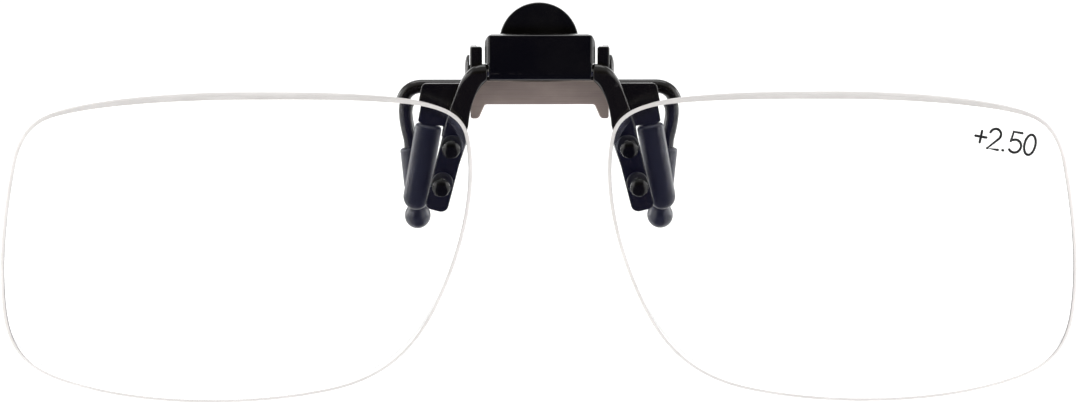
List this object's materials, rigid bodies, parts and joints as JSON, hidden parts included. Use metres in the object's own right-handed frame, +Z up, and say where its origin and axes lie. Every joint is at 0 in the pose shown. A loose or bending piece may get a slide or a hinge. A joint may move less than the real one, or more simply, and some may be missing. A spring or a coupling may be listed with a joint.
{
  "type": "clip-on flip lenses",
  "caption": "Pair of clear rimless reading lenses that flip up on a sprung black metal clip, which grips the bridge of a pair of spectacles.",
  "frame": {"origin": "middle of the closed jaws, between the front and rear sleeves, on the plane of symmetry", "axes": "+X to the right as seen from the front, -Y towards the viewer of the front, +Z up towards the thumb tab"},
  "size_m": [0.1258, 0.0137, 0.0466],
  "materials": {
    "black_metal": "satin black",
    "bare_metal": "satin",
    "spring_steel": "bright drawn",
    "sleeve_vinyl": "soft satin",
    "lens_resin": "clear, anti-reflection coated",
    "nylon": "matte black"
  },
  "bodies": {
    "front_clip": {"hinge_cover": "black_metal", "detent_spring": "spring_steel", "front_plate": "black_metal", "clamp_pin": "black_metal", "torsion_spring": "spring_steel", "bridge_saddle": "bare_metal", "front_prong_left": "black_metal", "front_prong_right": "black_metal", "front_sleeve_left": "sleeve_vinyl", "front_sleeve_right": "sleeve_vinyl"},
    "rear_clip": {"rear_clamp": "black_metal", "rear_wire_left": "black_metal", "rear_wire_right": "black_metal", "rear_sleeve_left": "sleeve_vinyl", "rear_sleeve_right": "sleeve_vinyl"},
    "lens_set": {"lens_left": "lens_resin", "lens_right": "lens_resin", "lens_arm_left": "black_metal", "lens_arm_right": "black_metal", "flip_axle": "spring_steel", "screw_left_upper": "black_metal", "screw_left_lower": "black_metal", "screw_right_upper": "black_metal", "screw_right_lower": "black_metal", "washer_left_upper": "nylon", "washer_left_lower": "nylon", "washer_right_upper": "nylon", "washer_right_lower": "nylon", "nut_left_upper": "spring_steel", "nut_left_lower": "spring_steel", "nut_right_upper": "spring_steel", "nut_right_lower": "spring_steel"}
  },
  "joints": [
    {"name": "lens_flip", "type": "hinge", "parent": "front_clip", "child": "lens_set", "pos_m": [0, -0.0063, 0.01207], "axis": [-1, 0, 0], "range_deg": [0, 90]},
    {"name": "clamp_squeeze", "type": "hinge", "parent": "front_clip", "child": "rear_clip", "pos_m": [0, -0.0024, 0.0121], "axis": [1, 0, 0], "range_deg": [0, 25], "stiffness_Nm_per_rad": 0.15, "deforming": ["torsion_spring"]}
  ]
}
